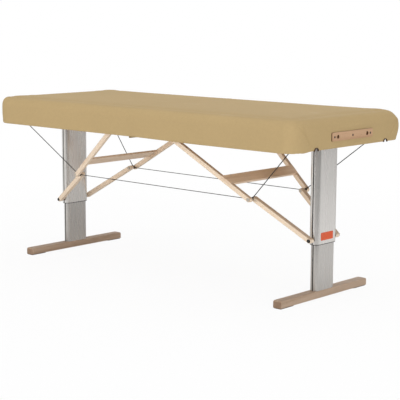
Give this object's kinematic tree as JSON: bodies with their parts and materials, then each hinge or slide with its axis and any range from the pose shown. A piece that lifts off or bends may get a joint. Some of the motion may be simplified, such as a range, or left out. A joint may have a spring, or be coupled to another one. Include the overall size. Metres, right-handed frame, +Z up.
{
  "type": "portable electric massage table",
  "caption": "Padded folding treatment table with motor-driven telescopic end columns on wooden feet, wooden fold-away struts and steel bracing wires.",
  "frame": {"origin": "on the floor under the centre of the table, midway between both ends and both long sides", "axes": "+X along the table towards the head end with the face-rest plate, +Y across the table, +Z up"},
  "size_m": [1.95, 0.8, 0.82],
  "materials": {
    "vinyl": "smooth khaki vinyl over foam",
    "plywood": "raw plywood",
    "rail_wood": "planed softwood",
    "beech": "clear satin lacquer",
    "aluminium": "satin anodised, fine vertical lines",
    "cast_aluminium": "cast",
    "dark_steel": "black satin",
    "hinge_brass": "satin",
    "wire_steel": "stranded galvanised wire",
    "black_plastic": "matt black",
    "pad_rubber": "matt black"
  },
  "bodies": {
    "foot_top": {"foot_cushion": "vinyl", "foot_deck": "plywood", "foot_side_rails": "rail_wood", "foot_cross_rails": "rail_wood", "foot_column_bracket": "dark_steel", "foot_strut_brackets": "dark_steel", "foot_wire_anchors": "dark_steel", "foot_hinge_leaves": "hinge_brass", "foot_stay_wires": "wire_steel"},
    "centre_link": {"hinge_pins": "dark_steel", "tie_wires": "wire_steel"},
    "foot_column": {"foot_column_sleeve": "aluminium", "foot_column_head": "cast_aluminium", "foot_gear_motor": "dark_steel", "foot_sleeve_glide": "black_plastic"},
    "foot_spindle": {"foot_spindle": "wire_steel"},
    "foot_base": {"foot_inner_tube": "aluminium", "foot_spindle_nut": "black_plastic", "foot_foot_bar": "beech", "foot_foot_pads": "pad_rubber"},
    "foot_upper_struts": {"foot_upper_strut_near": "beech", "foot_upper_strut_far": "beech", "foot_cross_bar": "beech", "foot_knee_pins": "dark_steel"},
    "foot_lower_struts": {"foot_lower_strut_near": "beech", "foot_lower_strut_far": "beech", "foot_sleeve_bolts": "dark_steel"},
    "foot_tie_eyes": {"foot_tie_eyes": "wire_steel"},
    "head_top": {"head_cushion": "vinyl", "head_deck": "plywood", "head_side_rails": "rail_wood", "head_cross_rails": "rail_wood", "head_column_bracket": "dark_steel", "head_strut_brackets": "dark_steel", "head_wire_anchors": "dark_steel", "head_hinge_leaves": "hinge_brass", "head_stay_wires": "wire_steel", "face_rest_plate": "beech", "plate_screws": "dark_steel", "notch_liners": "black_plastic", "control_box": "black_plastic"},
    "head_column": {"head_column_sleeve": "aluminium", "head_column_head": "cast_aluminium", "head_gear_motor": "dark_steel", "head_sleeve_glide": "black_plastic"},
    "head_spindle": {"head_spindle": "wire_steel"},
    "head_base": {"head_inner_tube": "aluminium", "head_spindle_nut": "black_plastic", "head_foot_bar": "beech", "head_foot_pads": "pad_rubber"},
    "head_upper_struts": {"head_upper_strut_near": "beech", "head_upper_strut_far": "beech", "head_cross_bar": "beech", "head_knee_pins": "dark_steel"},
    "head_lower_struts": {"head_lower_strut_near": "beech", "head_lower_strut_far": "beech", "head_sleeve_bolts": "dark_steel"},
    "head_tie_eyes": {"head_tie_eyes": "wire_steel"}
  },
  "joints": [
    {"name": "close_foot", "type": "hinge", "parent": "foot_top", "child": "centre_link", "pos_m": [0, 0, 0.684], "axis": [0, 1, 0], "range_deg": [0, 90], "deforming": ["foot_stay_wires", "tie_wires"]},
    {"name": "leg_fold_foot", "type": "hinge", "parent": "foot_top", "child": "foot_column", "pos_m": [-0.8195, 0, 0.7189], "axis": [0, -1, 0], "range_deg": [0, 90]},
    {"name": "lift_foot", "type": "slide", "parent": "foot_column", "child": "foot_base", "axis": [0, 0, -1], "range_m": [-0.2, 0.06]},
    {"name": "spindle_foot", "type": "hinge", "parent": "foot_column", "child": "foot_spindle", "pos_m": [-0.825, 0, 0.5], "axis": [0, 0, 1], "range_deg": [-6001, 1801]},
    {"name": "strut_fold_foot", "type": "hinge", "parent": "foot_top", "child": "foot_upper_struts", "pos_m": [-0.117, 0, 0.7495], "axis": [0, 1, 0], "range_deg": [0, 34.69]},
    {"name": "knee_foot", "type": "hinge", "parent": "foot_upper_struts", "child": "foot_lower_struts", "pos_m": [-0.573, 0, 0.434], "axis": [0, -1, 0], "range_deg": [0, 174.02]},
    {"name": "tie_foot", "type": "hinge", "parent": "foot_upper_struts", "child": "foot_tie_eyes", "pos_m": [-0.573, 0, 0.434], "axis": [0, -1, 0], "range_deg": [0, 28.32]},
    {"name": "close_head", "type": "hinge", "parent": "centre_link", "child": "head_top", "pos_m": [0, 0, 0.684], "axis": [0, 1, 0], "range_deg": [0, 90], "deforming": ["head_stay_wires", "tie_wires"]},
    {"name": "leg_fold_head", "type": "hinge", "parent": "head_top", "child": "head_column", "pos_m": [0.8195, 0, 0.7189], "axis": [0, 1, 0], "range_deg": [0, 90]},
    {"name": "lift_head", "type": "slide", "parent": "head_column", "child": "head_base", "axis": [0, 0, -1], "range_m": [-0.2, 0.06]},
    {"name": "spindle_head", "type": "hinge", "parent": "head_column", "child": "head_spindle", "pos_m": [0.825, 0, 0.5], "axis": [0, 0, 1], "range_deg": [-6001, 1801]},
    {"name": "strut_fold_head", "type": "hinge", "parent": "head_top", "child": "head_upper_struts", "pos_m": [0.117, 0, 0.7495], "axis": [0, -1, 0], "range_deg": [0, 34.69]},
    {"name": "knee_head", "type": "hinge", "parent": "head_upper_struts", "child": "head_lower_struts", "pos_m": [0.573, 0, 0.434], "axis": [0, 1, 0], "range_deg": [0, 174.02]},
    {"name": "tie_head", "type": "hinge", "parent": "head_upper_struts", "child": "head_tie_eyes", "pos_m": [0.573, 0, 0.434], "axis": [0, 1, 0], "range_deg": [0, 28.32]}
  ],
  "couplings": [
    {"joint": "leg_fold_foot", "follows": "close_foot", "ratio": 1},
    {"joint": "spindle_foot", "follows": "lift_foot", "rad_per_m": 523.6},
    {"joint": "strut_fold_foot", "follows": "close_foot", "ratio": 0.38532},
    {"joint": "knee_foot", "follows": "close_foot", "ratio": 1.9335},
    {"joint": "tie_foot", "follows": "close_foot", "ratio": 0.3145},
    {"joint": "leg_fold_head", "follows": "close_head", "ratio": 1},
    {"joint": "lift_head", "follows": "lift_foot", "ratio": 1},
    {"joint": "spindle_head", "follows": "lift_foot", "rad_per_m": 523.6},
    {"joint": "strut_fold_head", "follows": "close_head", "ratio": 0.38532},
    {"joint": "knee_head", "follows": "close_head", "ratio": 1.9335},
    {"joint": "tie_head", "follows": "close_head", "ratio": 0.3145}
  ]
}
